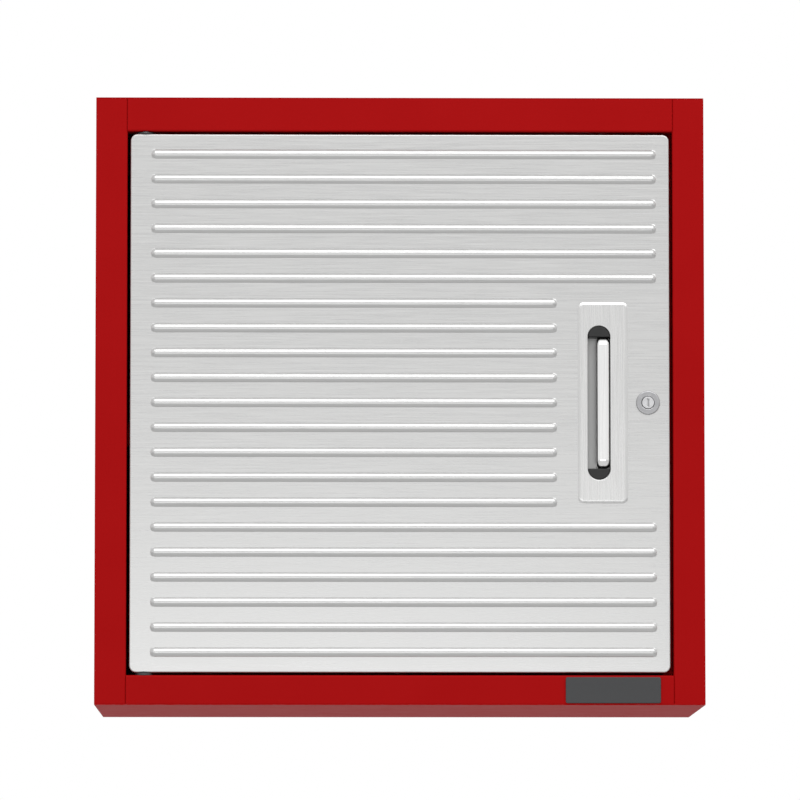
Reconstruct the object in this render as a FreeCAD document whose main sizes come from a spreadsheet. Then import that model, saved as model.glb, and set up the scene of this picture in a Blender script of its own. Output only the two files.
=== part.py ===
import FreeCAD, Part
import math
import os
import re

import Sketcher

# Hanging wall cabinet: a folded steel case with a face frame, an inset door with a ribbed stainless
# front on two pivot pins, a cam lock, a magnetic catch and one adjustable shelf.
# Millimetres. +Z is up, the front faces -Y and the back lies on the wall at Y = 0.
# The origin is the centre of the four wall bolts on the back face.

doc = FreeCAD.newDocument("wall_cabinet")
dims = doc.addObject("Spreadsheet::Sheet", "dims")

driving_sizes = {
    # case
    "case_width": 609.6,
    "case_height": 609.6,
    "case_depth": 304.8,
    "sheet": 1.2,
    "flange": 14,
    "post_width": 31.5,
    "top_rail_height": 34,
    "bottom_rail_height": 29.6,
    "stop_lip": 10,
    "bend_inside": 0.8,
    # wall fixing
    "bolt_spacing_across": 406.4,
    "bolt_end_inset": 64.8,
    "bolt_hole_radius": 4.2,
    "hanging_rail_height": 50,
    "hanging_rail_sheet": 2,
    # shelf and its standards
    "standard_width": 16,
    "standard_depth": 5,
    "standard_end_gap": 55,
    "standard_inset": 32,
    "slot_pitch": 25.4,
    "slot_width": 4,
    "slot_height": 12,
    "shelf_slot": 8,
    "shelf_edge": 22,
    "shelf_hem": 9,
    "shelf_side_gap": 1.5,
    "shelf_front_gap": 12,
    "shelf_rear_gap": 4,
    "clip_tongue": 11,
    "clip_sheet": 2,
    "clip_play": 0.3,
    # door
    "side_gap": 3,
    "door_recess": 1.5,
    "door_thickness": 21,
    "door_corner_radius": 7,
    "door_edge_radius": 1.6,
    "skin_sheet": 0.8,
    "pan_sheet": 0.9,
    "pan_flange": 14,
    "pan_play": 0.1,
    "bead_width": 9.5,
    "bead_height": 2.2,
    "bead_pitch": 25,
    "bead_end_hinge": 21,
    "bead_end_lock": 13.5,
    "pad_side_border": 21,
    "pad_end_border": 14,
    "stiffener_width": 50,
    "stiffener_end_gap": 30,
    # hinges
    "hinge_inset": 15,
    "hinge_setback": 8,
    "pin_radius": 4,
    "pin_reach": 14,
    "pin_head_radius": 7,
    "pin_head": 2.5,
    "bush_wall": 2,
    "bush_flange": 1.4,
    "bush_flange_radius": 9,
    "bush_length": 16,
    "running_play": 0.05,
    "washer_thickness": 1.2,
    "bracket_sheet": 2.5,
    "bracket_length": 36,
    "bracket_drop": 18,
    # handle
    "plate_side_border": 12.5,
    "plate_end_border": 22.5,
    "plate_thickness": 2,
    "plate_radius": 6,
    "plate_inset": 67,
    "recess_width": 25,
    "recess_height": 157,
    "recess_offset": 4,
    "cup_wall": 1.2,
    "cup_play": 0.2,
    "cap_sunk": 0.8,
    "cap_play": 0.1,
    "pull_width": 13,
    "pull_thickness": 6,
    "cap_length": 11.3,
    "pull_proud": 4,
    "pull_bend": 9,
    "handle_screw_radius": 2,
    "handle_screw_length": 11,
    "screw_head_radius": 3.8,
    "screw_head": 2.4,
    # lock
    "lock_inset": 22,
    "lock_flange_radius": 12,
    "lock_flange": 2.5,
    "lock_barrel_radius": 9.5,
    "lock_plug_radius": 6,
    "lock_plug_proud": 0.6,
    "lock_nut_width": 22,
    "lock_nut_thickness": 3.2,
    "lock_tail": 7,
    "cam_sheet": 2.5,
    "cam_width": 16,
    "cam_grip": 12,
    "cam_play": 0.6,
    "cam_screw_radius": 2,
    "cam_screw_length": 9,
    "cam_screw_head_radius": 5,
    "keyway_width": 2,
    "keyway_height": 8,
    "keyway_depth": 6,
    # catch and bumpers
    "catch_inset": 90,
    "catch_width": 60,
    "catch_height": 14,
    "catch_depth": 22,
    "catch_bracket_sheet": 1.5,
    "catch_bracket_rise": 22,
    "magnet_width": 38,
    "magnet_height": 5.6,
    "magnet_depth": 12,
    "pole_sheet": 1.6,
    "pole_proud": 0.8,
    "catch_screw_radius": 1.8,
    "catch_screw_spacing": 50,
    "strike_sheet": 1,
    "strike_gap": 0.3,
    "bumper_radius": 4,
    "bumper_thickness": 3,
    "bumper_end_inset": 70.4,
    "bumper_gap": 0.3,
    # badge
    "badge_width": 95,
    "badge_height": 26,
    "badge_thickness": 1.5,
    "badge_inset": 13,
    "badge_radius": 2,
    # how far a cutter reaches past what it cuts
    "overcut": 1,
}

# Sizes and places that follow from the driving ones.
derived_sizes = {
    "half_width": "case_width / 2",
    "half_height": "case_height / 2",
    "front": "0 - case_depth",
    "inner_half": "half_width - sheet",
    "jamb": "half_width - post_width",
    "bolt_spacing_up": "case_height - 2 * bolt_end_inset",
    "frame_depth": "door_recess + door_thickness + bumper_gap + bumper_thickness + sheet",
    "frame_back": "frame_depth - case_depth",
    "bottom_rail_top": "bottom_rail_height - half_height",
    "top_rail_underside": "half_height - top_rail_height",
    "door_gap": "bush_flange + washer_thickness",
    "door_half": "jamb - side_gap",
    "door_bottom": "bottom_rail_top + door_gap",
    "door_top": "top_rail_underside - door_gap",
    "door_height": "door_top - door_bottom",
    "door_middle": "(door_top + door_bottom) / 2",
    "door_face": "front + door_recess",
    "door_back": "door_face + door_thickness",
    "pan_front": "door_back - pan_sheet",
    "skin_back": "door_face + skin_sheet",
    "bead_radius": "(bead_width * bead_width / 4 + bead_height * bead_height) / (2 * bead_height)",
    "hinge_x": "hinge_inset - door_half",
    "hinge_y": "door_face + hinge_setback",
    "bush_radius": "pin_radius + running_play + bush_wall",
    "plate_x": "door_half - plate_inset",
    "plate_width": "recess_width + 2 * plate_side_border",
    "plate_height": "recess_height + 2 * plate_end_border",
    "pad_width": "plate_inset + plate_width / 2 + pad_side_border",
    "pad_height": "plate_height + 2 * pad_end_border",
    "recess_x": "plate_x - recess_offset",
    "cup_floor": "pan_front - cup_wall",
    "pull_height": "recess_height - 2 * cup_wall - 2 * cap_length",
    "pull_foot": "pull_height / 2 - pull_thickness / 2",
    "lock_x": "door_half - lock_inset",
    "cam_front": "frame_back + cam_play",
    "cam_length": "lock_inset + side_gap + cam_grip",
    "bumper_spacing": "door_height - 2 * bumper_end_inset",
    "catch_x": "door_half - catch_inset",
    "catch_face": "door_back + strike_sheet + strike_gap + pole_proud",
    "catch_top": "top_rail_underside - catch_bracket_sheet",
    "catch_low": "catch_top - catch_height",
    "catch_centre": "catch_top - catch_height / 2",
    "catch_middle": "catch_face + catch_depth / 2",
    "standard_face": "inner_half - standard_depth",
    "standard_bottom": "standard_end_gap - half_height",
    "slot_start": "standard_bottom + slot_pitch",
    "clip_top": "slot_start + shelf_slot * slot_pitch",
    "shelf_half": "standard_face - shelf_side_gap",
    "shelf_front": "frame_back + shelf_front_gap",
    "shelf_back": "0 - sheet - hanging_rail_sheet - shelf_rear_gap",
    "badge_x": "jamb - badge_inset - badge_width / 2",
    "badge_z": "bottom_rail_height / 2 - half_height",
}

for row, (alias, size) in enumerate(driving_sizes.items(), start=1):
    dims.set(f"A{row}", alias.replace("_", " "))
    dims.set(f"B{row}", str(size))
    dims.setAlias(f"B{row}", alias)
doc.recompute()

# Tolerances for finding edges by their direction and place.
parallel = 0.999
same_place = 0.01

sub_parts = []


def expand(text):
    """Turn a sum of size names into an expression on the spreadsheet's cells."""

    def swap(match):
        name = match.group()
        if name in derived_sizes:
            return f"({expand(derived_sizes[name])})"
        if name in driving_sizes:
            return f"dims.{name}"
        raise ValueError(f"unknown size {name}")

    return re.sub(r"[a-z][a-z_]*", swap, str(text))


def value(text):
    """The present value of a sum of sizes."""
    return float(dims.evalExpression(expand(text)))


def bind(item, **settings):
    for name, text in settings.items():
        item.setExpression(name, expand(text))


def place(item, corner):
    for name, text in zip("xyz", corner):
        item.setExpression(f"Placement.Base.{name}", expand(text))
    return item


def finish(item, label):
    """Name a finished sub-part, which is then written to its own file."""
    item.Label = label
    sub_parts.append(item)
    return item


# Part primitives. A block runs from its low corner; a rod runs along its axis from its start.


def block(x_span, y_span, z_span):
    item = doc.addObject("Part::Box", "block")
    spans = (x_span, y_span, z_span)
    for name, (low, high) in zip(("Length", "Width", "Height"), spans):
        item.setExpression(name, expand(f"({high}) - ({low})"))
    return place(item, [low for low, high in spans])


turn_to_axis = {
    "x": FreeCAD.Rotation(FreeCAD.Vector(0, 1, 0), 90),
    "y": FreeCAD.Rotation(FreeCAD.Vector(1, 0, 0), -90),
    "z": FreeCAD.Rotation(),
}


def rod(axis, start, length, radius):
    item = doc.addObject("Part::Cylinder", "rod")
    item.Placement.Rotation = turn_to_axis[axis]
    bind(item, Height=length, Radius=radius)
    return place(item, start)


def joined(*items):
    item = doc.addObject("Part::MultiFuse", "joined")
    item.Shapes = list(items)
    item.Refine = True
    return item


def group(*items):
    item = doc.addObject("Part::Compound", "group")
    item.Links = list(items)
    return item


def cut(base, *tools):
    item = doc.addObject("Part::Cut", "cut")
    item.Base = base
    item.Tool = joined(*tools) if len(tools) > 1 else tools[0]
    item.Refine = True
    return item


def stadium(centre_x, y_span, centre_z, width, height):
    """An upright slot with round ends, cut or filled along Y."""
    low, high = y_span
    depth = f"({high}) - ({low})"
    straight = f"({height}) / 2 - ({width}) / 2"
    middle = block(
        (f"{centre_x} - ({width}) / 2", f"{centre_x} + ({width}) / 2"),
        y_span,
        (f"{centre_z} - ({straight})", f"{centre_z} + ({straight})"),
    )
    ends = [
        rod("y", (centre_x, low, f"{centre_z} {sign} ({straight})"), depth, f"({width}) / 2")
        for sign in "+-"
    ]
    return joined(middle, *ends)


# PartDesign bodies: a polygon on one of the body's own planes, padded, with its bends rounded.

plane_normals = {
    "XY_Plane": FreeCAD.Vector(0, 0, 1),
    "XZ_Plane": FreeCAD.Vector(0, 1, 0),
    "YZ_Plane": FreeCAD.Vector(1, 0, 0),
}


def sketch_polygon(body, role, corners, offset):
    sketch = body.newObject("Sketcher::SketchObject", "profile")
    plane = next(item for item in body.Origin.OriginFeatures if item.Role == role)
    sketch.AttachmentSupport = [(plane, "")]
    sketch.MapMode = "FlatFace"
    sketch.setExpression("AttachmentOffset.Base.z", expand(offset))
    points = [FreeCAD.Vector(value(across), value(up), 0) for across, up in corners]
    count = len(points)
    for index in range(count):
        sketch.addGeometry(Part.LineSegment(points[index], points[(index + 1) % count]), False)
    for index in range(count):
        sketch.addConstraint(Sketcher.Constraint("Coincident", index, 2, (index + 1) % count, 1))
    for index, (across, up) in enumerate(corners):
        for kind, text in (("DistanceX", across), ("DistanceY", up)):
            number = sketch.addConstraint(Sketcher.Constraint(kind, -1, 1, index, 1, value(text)))
            sketch.setExpression(f"Constraints[{number}]", expand(text))
    return sketch


def pad(body, role, corners, start, length):
    """Pad a polygon along +Z, -Y or +X, the normals of the XY, XZ and YZ planes."""
    feature = body.newObject("PartDesign::Pad", "pad")
    feature.Profile = sketch_polygon(body, role, corners, start)
    bind(feature, Length=length)
    body.Tip = feature
    doc.recompute()
    return feature


def pocket(body, role, corners, start, length):
    """Cut a polygon against the plane's normal, and make sure that it took something away."""
    before = body.Shape.Volume
    feature = body.newObject("PartDesign::Pocket", "pocket")
    feature.Profile = sketch_polygon(body, role, corners, start)
    bind(feature, Length=length)
    body.Tip = feature
    doc.recompute()
    if body.Shape.Volume >= before:
        raise RuntimeError(f"a pocket in {body.Name} cuts nothing")
    return feature


def rectangle(across, up):
    (left, right), (low, high) = across, up
    return [(left, low), (right, low), (right, high), (left, high)]


def edges_along(shape, direction, wanted=lambda point: True):
    names = []
    for number, edge in enumerate(shape.Edges, start=1):
        if not isinstance(edge.Curve, Part.Line):
            continue
        if abs(edge.Curve.Direction.dot(direction)) > parallel and wanted(edge.CenterOfMass):
            names.append(f"Edge{number}")
    return names


def round_edges(body, base, names, radius):
    feature = body.newObject("PartDesign::Fillet", "rounding")
    feature.Base = (base, names)
    bind(feature, Radius=radius)
    body.Tip = feature
    doc.recompute()
    return feature


def new_body(name):
    return doc.addObject("PartDesign::Body", name)


def folded_strip(name, role, corners, start, length, bends):
    """A sheet folded to a section, given the outer and the inner corners of its bends."""
    body = new_body(name)
    strip = pad(body, role, corners, start, length)
    normal = plane_normals[role]
    across, up = {"XY_Plane": "xy", "XZ_Plane": "xz", "YZ_Plane": "yz"}[role]
    outer, inner = bends

    def near(corner):
        spot = (value(corner[0]), value(corner[1]))

        def wanted(point):
            return math.dist((getattr(point, across), getattr(point, up)), spot) < same_place

        return wanted

    names = [name for corner in outer for name in edges_along(strip.Shape, normal, near(corner))]
    strip = round_edges(body, strip, names, "bend_inside + sheet")
    names = [name for corner in inner for name in edges_along(strip.Shape, normal, near(corner))]
    round_edges(body, strip, names, "bend_inside")
    return body


# Case


def side_panel(label, side):
    """A flat side with a flange folded inwards along its rear edge. Side is -1 or 1."""
    outer = f"{side} * half_width"
    inner = f"{side} * inner_half"
    flange_end = f"{side} * (half_width - flange)"
    section = [
        (outer, "front + sheet"),
        (inner, "front + sheet"),
        (inner, "0 - 2 * sheet"),
        (flange_end, "0 - 2 * sheet"),
        (flange_end, "0 - sheet"),
        (outer, "0 - sheet"),
    ]
    bends = [(outer, "0 - sheet")], [(inner, "0 - 2 * sheet")]
    low = "sheet - half_height"
    panel = folded_strip(label, "XY_Plane", section, low, "case_height - 2 * sheet", bends)
    return finish(panel, label)


def end_panel(label, outer, inner, flange_end):
    """The top or bottom of the case: a sheet with flanges that lie on the sides and the back."""

    def z_span(first, second):
        return (first, second) if value(first) < value(second) else (second, first)

    sheet = block(("0 - half_width", "half_width"), ("front", "0 - sheet"), z_span(outer, inner))
    side_flanges = [
        block(
            (low, high),
            ("frame_back + sheet", "0 - 2 * sheet - bend_inside"),
            z_span(inner, flange_end),
        )
        for low, high in (
            ("0 - inner_half", "sheet - inner_half"),
            ("inner_half - sheet", "inner_half"),
        )
    ]
    rear_flange = block(
        ("flange + sheet - half_width", "half_width - flange - sheet"),
        ("0 - 2 * sheet", "0 - sheet"),
        z_span(inner, flange_end),
    )
    return finish(joined(sheet, *side_flanges, rear_flange), label)


bolt_places = [(across, up) for across in (-1, 1) for up in (-1, 1)]


def back_panel():
    sheet = block(
        ("0 - half_width", "half_width"), ("0 - sheet", "0"), ("0 - half_height", "half_height")
    )
    holes = [
        rod(
            "y",
            (f"{across} * bolt_spacing_across / 2", "0 - 2 * sheet", f"{up} * bolt_spacing_up / 2"),
            "3 * sheet",
            "bolt_hole_radius",
        )
        for across, up in bolt_places
    ]
    return finish(cut(sheet, *holes), "back_panel")


def hanging_rail(label, up):
    """A thick strip across the inside of the back, which the wall bolts clamp."""
    middle = f"{up} * bolt_spacing_up / 2"
    back = "0 - sheet"
    rail = block(
        ("flange + sheet - half_width", "half_width - flange - sheet"),
        (f"{back} - hanging_rail_sheet", back),
        (f"{middle} - hanging_rail_height / 2", f"{middle} + hanging_rail_height / 2"),
    )
    holes = [
        rod(
            "y",
            (f"{across} * bolt_spacing_across / 2", f"{back} - 2 * hanging_rail_sheet", middle),
            "3 * hanging_rail_sheet",
            "bolt_hole_radius",
        )
        for across in (-1, 1)
    ]
    return finish(cut(rail, *holes), label)


# Face frame


def hinge_post():
    """The left post: face, jamb and a return that meets the side panel."""
    section = [
        ("0 - half_width", "front"),
        ("0 - jamb", "front"),
        ("0 - jamb", "frame_back"),
        ("0 - inner_half", "frame_back"),
        ("0 - inner_half", "frame_back - sheet"),
        ("0 - jamb - sheet", "frame_back - sheet"),
        ("0 - jamb - sheet", "front + sheet"),
        ("0 - half_width", "front + sheet"),
    ]
    outer = [("0 - jamb", "front"), ("0 - jamb", "frame_back")]
    inner = [
        ("0 - jamb - sheet", "front + sheet"),
        ("0 - jamb - sheet", "frame_back - sheet"),
    ]
    low, height = "sheet - half_height", "case_height - 2 * sheet"
    post = folded_strip("left_post", "XY_Plane", section, low, height, (outer, inner))
    return finish(post, "left_post")


def lock_post():
    """The right post: face, jamb and a lip behind the door, which stops it and holds the cam.

    The lip is notched away where the rails meet the jamb.
    """
    section = [
        ("half_width", "front"),
        ("half_width", "front + sheet"),
        ("jamb + sheet", "front + sheet"),
        ("jamb + sheet", "frame_back"),
        ("jamb - stop_lip", "frame_back"),
        ("jamb - stop_lip", "frame_back - sheet"),
        ("jamb", "frame_back - sheet"),
        ("jamb", "front"),
    ]
    outer = [("jamb", "front"), ("jamb + sheet", "frame_back")]
    inner = [("jamb + sheet", "front + sheet"), ("jamb", "frame_back - sheet")]
    low, height = "sheet - half_height", "case_height - 2 * sheet"
    blank = folded_strip("post_blank", "XY_Plane", section, low, height, (outer, inner))
    notches = [
        block(
            ("jamb - 2 * stop_lip", "jamb"),
            ("frame_back - sheet - 2 * bend_inside", "frame_back + sheet"),
            z_span,
        )
        for z_span in (
            ("0 - half_height", "bottom_rail_top"),
            ("top_rail_underside", "half_height"),
        )
    ]
    return finish(cut(blank, *notches), "right_post")


def rail(label, outer, door_side, inward):
    """A front rail: face, a leg over or under the door, and a return to the end panel."""
    leg_inside = f"{door_side} {inward} sheet"
    section = [
        ("front", outer),
        ("front", door_side),
        ("frame_back", door_side),
        ("frame_back", outer),
        ("frame_back - sheet", outer),
        ("frame_back - sheet", leg_inside),
        ("front + sheet", leg_inside),
        ("front + sheet", outer),
    ]
    bends = (
        [("front", door_side), ("frame_back", door_side)],
        [("front + sheet", leg_inside), ("frame_back - sheet", leg_inside)],
    )
    blank = folded_strip(f"{label}_blank", "YZ_Plane", section, "0 - jamb", "2 * jamb", bends)
    hole = rod(
        "z",
        ("hinge_x", "hinge_y", f"{door_side} - 2 * sheet"),
        "4 * sheet",
        "pin_radius + 4 * running_play",
    )
    return finish(cut(blank, hole), label)


# Shelf standards, clips and shelf


def slot_count():
    free = value("case_height - 2 * standard_end_gap - 2 * slot_pitch")
    return int(free // value("slot_pitch")) + 1


def standard(label, side, middle_y):
    """A channel with a column of slots, spot welded to a side panel."""
    wall = f"{side} * inner_half"
    face = f"{side} * standard_face"
    face_inside = f"{side} * (standard_face + sheet)"
    near = f"{middle_y} - standard_width / 2"
    far = f"{middle_y} + standard_width / 2"
    section = [
        (wall, near),
        (face, near),
        (face, far),
        (wall, far),
        (wall, f"{far} - sheet"),
        (face_inside, f"{far} - sheet"),
        (face_inside, f"{near} + sheet"),
        (wall, f"{near} + sheet"),
    ]
    body = new_body(label)
    pad(body, "XY_Plane", section, "standard_bottom", "case_height - 2 * standard_end_gap")
    slot = rectangle(
        (f"{middle_y} - slot_width / 2", f"{middle_y} + slot_width / 2"),
        ("slot_start - slot_height", "slot_start"),
    )
    outermost = f"{face} + standard_depth" if side > 0 else f"{face_inside} + sheet"
    first = pocket(body, "YZ_Plane", slot, outermost, "2 * standard_depth")
    column = body.newObject("PartDesign::LinearPattern", "slots")
    column.Originals = [first]
    z_axis = next(item for item in body.Origin.OriginFeatures if item.Role == "Z_Axis")
    column.Direction = (z_axis, [""])
    column.Occurrences = slot_count()
    column.Mode = "Spacing"
    column.setExpression("Offset", expand("slot_pitch"))
    body.Tip = column
    doc.recompute()
    return finish(body, label)


standard_lines = {
    "front": "frame_back + standard_inset",
    "rear": "0 - sheet - hanging_rail_sheet - standard_inset",
}


def shelf_clip(side, middle_y):
    """A tongue under the shelf with a hook through a slot of the standard."""

    def x_span(first, second):
        spots = [f"{side} * ({first})", f"{side} * ({second})"]
        return tuple(sorted(spots, key=value))

    half_hook = "slot_width / 2 - clip_play"
    hook_y = (f"{middle_y} - ({half_hook})", f"{middle_y} + {half_hook}")
    tongue = block(
        x_span("standard_face", "standard_face - clip_tongue"),
        (f"{middle_y} - standard_width / 2", f"{middle_y} + standard_width / 2"),
        ("clip_top - clip_sheet", "clip_top"),
    )
    neck = block(
        x_span("standard_face + sheet + clip_sheet", "standard_face - clip_sheet"),
        hook_y,
        ("clip_top - slot_height + clip_play", "clip_top - clip_play"),
    )
    hook = block(
        x_span("standard_face + sheet + clip_play", "standard_face + sheet + clip_sheet"),
        hook_y,
        ("clip_top - slot_height - 2 * clip_sheet", "clip_top - clip_play"),
    )
    return joined(tongue, neck, hook)


def shelf():
    """A sheet with its long edges folded down and hemmed."""
    low = "clip_top - shelf_edge"
    section = [
        ("shelf_front", "clip_top + sheet"),
        ("shelf_front", low),
        ("shelf_front + shelf_hem", low),
        ("shelf_front + shelf_hem", f"{low} + sheet"),
        ("shelf_front + sheet", f"{low} + sheet"),
        ("shelf_front + sheet", "clip_top"),
        ("shelf_back - sheet", "clip_top"),
        ("shelf_back - sheet", f"{low} + sheet"),
        ("shelf_back - shelf_hem", f"{low} + sheet"),
        ("shelf_back - shelf_hem", low),
        ("shelf_back", low),
        ("shelf_back", "clip_top + sheet"),
    ]
    outer = [section[0], section[1], section[10], section[11]]
    inner = [section[4], section[5], section[6], section[7]]
    start, length = "0 - shelf_half", "2 * shelf_half"
    sheet = folded_strip("shelf", "YZ_Plane", section, start, length, (outer, inner))
    return finish(sheet, "shelf")


# Hinges. Everything is stacked from a rail's face towards the door; way is 1 up or -1 down.


def stack(way, base, near, far):
    """The Z span between two distances from a rail's face."""
    if way > 0:
        return f"{base} + ({near})", f"{base} + ({far})"
    return f"{base} - ({far})", f"{base} - ({near})"


def upright_rod(way, base, near, far, radius):
    low, high = stack(way, base, near, far)
    return rod("z", ("hinge_x", "hinge_y", low), f"({high}) - ({low})", radius)


def hinge(name, way, rail_face):
    leg = block(
        ("0 - jamb", "bracket_length - jamb"),
        ("front + sheet + bend_inside", "frame_back - sheet - bend_inside"),
        stack(way, rail_face, "0 - sheet - bracket_sheet", "0 - sheet"),
    )
    web = block(
        ("0 - jamb", "bracket_sheet - jamb"),
        ("front + sheet + bend_inside", "frame_back - sheet - bend_inside"),
        stack(way, rail_face, "0 - sheet - bracket_drop", "0 - sheet"),
    )
    pin_hole = upright_rod(
        way, rail_face, "0 - sheet - 2 * bracket_sheet", "0", "pin_radius + running_play"
    )
    finish(cut(joined(leg, web), pin_hole), f"{name}_hinge_bracket")

    head = upright_rod(
        way,
        rail_face,
        "0 - sheet - bracket_sheet - pin_head",
        "0 - sheet - bracket_sheet",
        "pin_head_radius",
    )
    shank = upright_rod(
        way, rail_face, "0 - sheet - bracket_sheet - pin_head", "door_gap + pin_reach", "pin_radius"
    )
    finish(joined(head, shank), f"{name}_hinge_pin")

    flange = upright_rod(
        way, rail_face, "door_gap - bush_flange", "door_gap", "bush_flange_radius"
    )
    barrel = upright_rod(
        way, rail_face, "door_gap - bush_flange", "door_gap + bush_length", "bush_radius"
    )
    bore = upright_rod(
        way, rail_face, "0", "door_gap + 2 * bush_length", "pin_radius + running_play"
    )
    finish(cut(joined(flange, barrel), bore), f"{name}_hinge_bush")


def thrust_washer():
    disc = upright_rod(1, "bottom_rail_top", "0", "washer_thickness", "bush_flange_radius")
    hole = upright_rod(
        1, "bottom_rail_top", "0 - sheet", "2 * washer_thickness", "pin_radius + 4 * running_play"
    )
    finish(cut(disc, hole), "thrust_washer")


# Door


def pull_foot_rods(start, length, radius):
    """One rod in line with each foot of the pull, for its screws and their holes."""
    return [
        rod("y", ("plate_x", start, f"door_middle {sign} pull_foot"), length, radius)
        for sign in "+-"
    ]


def rounded_panel(name, half_across, z_span, back, depth, radius, edge_radius=None):
    """A panel seen from the front as a rounded rectangle, padded forwards from its back."""
    body = new_body(name)
    low, high = z_span
    corners = rectangle((f"0 - ({half_across})", half_across), (low, high))
    panel = pad(body, "XZ_Plane", corners, f"0 - ({back})", depth)
    y_axis = plane_normals["XZ_Plane"]
    panel = round_edges(body, panel, edges_along(panel.Shape, y_axis), radius)
    if edge_radius:
        face_y = value(f"({back}) - ({depth})")
        names = [
            f"Edge{number}"
            for number, edge in enumerate(panel.Shape.Edges, start=1)
            if max(abs(edge.BoundBox.YMin - face_y), abs(edge.BoundBox.YMax - face_y)) < same_place
        ]
        round_edges(body, panel, names, edge_radius)
    return body


def bead_rows():
    """Heights of the beads above the door's middle, as many as fit the door."""
    pitch = value("bead_pitch")
    free = value("door_height / 2 - bead_end_lock - bead_width / 2")
    per_side = int(free // pitch)
    return range(-per_side, per_side + 1)


def beads(radius):
    """The horizontal beads; those beside the handle stop at the flat pad."""
    rods = []
    left = "bead_end_hinge - door_half"
    for row in bead_rows():
        beside_pad = abs(row) * value("bead_pitch") < value("pad_height / 2")
        right = "door_half - pad_width" if beside_pad else "door_half - bead_end_lock"
        start = (left, "door_face - bead_height + bead_radius", f"door_middle + {row} * bead_pitch")
        rods.append(rod("x", start, f"({right}) - ({left})", radius))
    return rods


def lock_hole(radius):
    return rod("y", ("lock_x", "front - frame_depth", "door_middle"), "3 * frame_depth", radius)


def bush_holes():
    radius = "bush_radius + running_play"
    return [
        upright_rod(1, "door_bottom", "0 - sheet", "bush_length / 2", radius),
        upright_rod(-1, "door_top", "0 - sheet", "bush_length / 2", radius),
    ]


def door_skin():
    """The stainless front: an embossed face with its four edges turned back round the pan."""
    outside = rounded_panel(
        "skin_outside",
        "door_half",
        ("door_bottom", "door_top"),
        "door_back",
        "door_thickness",
        "door_corner_radius",
        "door_edge_radius",
    )
    inside = rounded_panel(
        "skin_inside",
        "door_half - skin_sheet",
        ("door_bottom + skin_sheet", "door_top - skin_sheet"),
        "door_back + overcut",
        "door_thickness - skin_sheet + overcut",
        "door_corner_radius - skin_sheet",
        "door_edge_radius - skin_sheet",
    )
    handle_hole = stadium(
        "recess_x",
        ("front - door_thickness", "door_back"),
        "door_middle",
        "recess_width + 2 * cup_play",
        "recess_height + 2 * cup_play",
    )
    skin = cut(joined(outside, *beads("bead_radius")), inside, *beads("bead_radius - skin_sheet"))
    return finish(
        cut(skin, handle_hole, lock_hole("lock_barrel_radius + running_play"), *bush_holes()),
        "door_skin",
    )


def door_pan():
    """The painted back of the door, a shallow tray that fits inside the skin's edges."""
    outside = rounded_panel(
        "pan_outside",
        "door_half - skin_sheet - pan_play",
        ("door_bottom + skin_sheet + pan_play", "door_top - skin_sheet - pan_play"),
        "door_back",
        "pan_flange",
        "door_corner_radius - skin_sheet - pan_play",
    )
    inside = rounded_panel(
        "pan_inside",
        "door_half - skin_sheet - pan_play - pan_sheet",
        (
            "door_bottom + skin_sheet + pan_play + pan_sheet",
            "door_top - skin_sheet - pan_play - pan_sheet",
        ),
        "pan_front",
        "pan_flange",
        "door_corner_radius - skin_sheet - pan_play - pan_sheet",
    )
    holes = pull_foot_rods(
        "pan_front - overcut", "pan_sheet + 2 * overcut", "handle_screw_radius + cup_play"
    )
    return finish(
        cut(outside, inside, *holes, lock_hole("lock_barrel_radius + running_play"), *bush_holes()),
        "door_pan",
    )


def door_stiffener():
    """An upright channel between skin and pan, glued to both."""
    half = "stiffener_width / 2"
    section = [
        (f"0 - {half}", "skin_back"),
        (f"{half}", "skin_back"),
        (f"{half}", "pan_front"),
        (f"{half} - pan_sheet", "pan_front"),
        (f"{half} - pan_sheet", "skin_back + pan_sheet"),
        (f"pan_sheet - {half}", "skin_back + pan_sheet"),
        (f"pan_sheet - {half}", "pan_front"),
        (f"0 - {half}", "pan_front"),
    ]
    body = new_body("stiffener")
    pad(
        body,
        "XY_Plane",
        section,
        "door_bottom + stiffener_end_gap",
        "door_height - 2 * stiffener_end_gap",
    )
    return finish(body, "door_stiffener")


# Handle


def handle_plate():
    body = new_body("plate_blank")
    corners = rectangle(
        ("plate_x - plate_width / 2", "plate_x + plate_width / 2"),
        ("door_middle - plate_height / 2", "door_middle + plate_height / 2"),
    )
    plate = pad(body, "XZ_Plane", corners, "0 - door_face", "plate_thickness")
    round_edges(
        body, plate, edges_along(plate.Shape, plane_normals["XZ_Plane"]), "plate_radius"
    )
    opening = stadium(
        "recess_x",
        ("door_face - 2 * plate_thickness", "skin_back"),
        "door_middle",
        "recess_width - 2 * cup_wall",
        "recess_height - 2 * cup_wall",
    )
    return finish(cut(body, opening), "handle_plate")


def handle_screws():
    """Two screws from behind the door into the feet of the pull."""
    shanks = pull_foot_rods(
        "door_back - handle_screw_length", "handle_screw_length", "handle_screw_radius"
    )
    heads = pull_foot_rods("door_back", "screw_head", "screw_head_radius")
    screws = [joined(shank, head) for shank, head in zip(shanks, heads)]
    return finish(group(*screws), "handle_screws")


def finger_cup():
    """A pressed cup behind the plate, deep enough for the fingertips."""
    outside = stadium(
        "recess_x", ("door_face", "pan_front"), "door_middle", "recess_width", "recess_height"
    )
    hollow = stadium(
        "recess_x",
        ("door_face - overcut", "cup_floor"),
        "door_middle",
        "recess_width - 2 * cup_wall",
        "recess_height - 2 * cup_wall",
    )
    bores = pull_foot_rods(
        "cup_floor - overcut", "cup_wall + 2 * overcut", "handle_screw_radius + cup_play"
    )
    return finish(cut(outside, hollow, *bores), "finger_cup")


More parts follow.
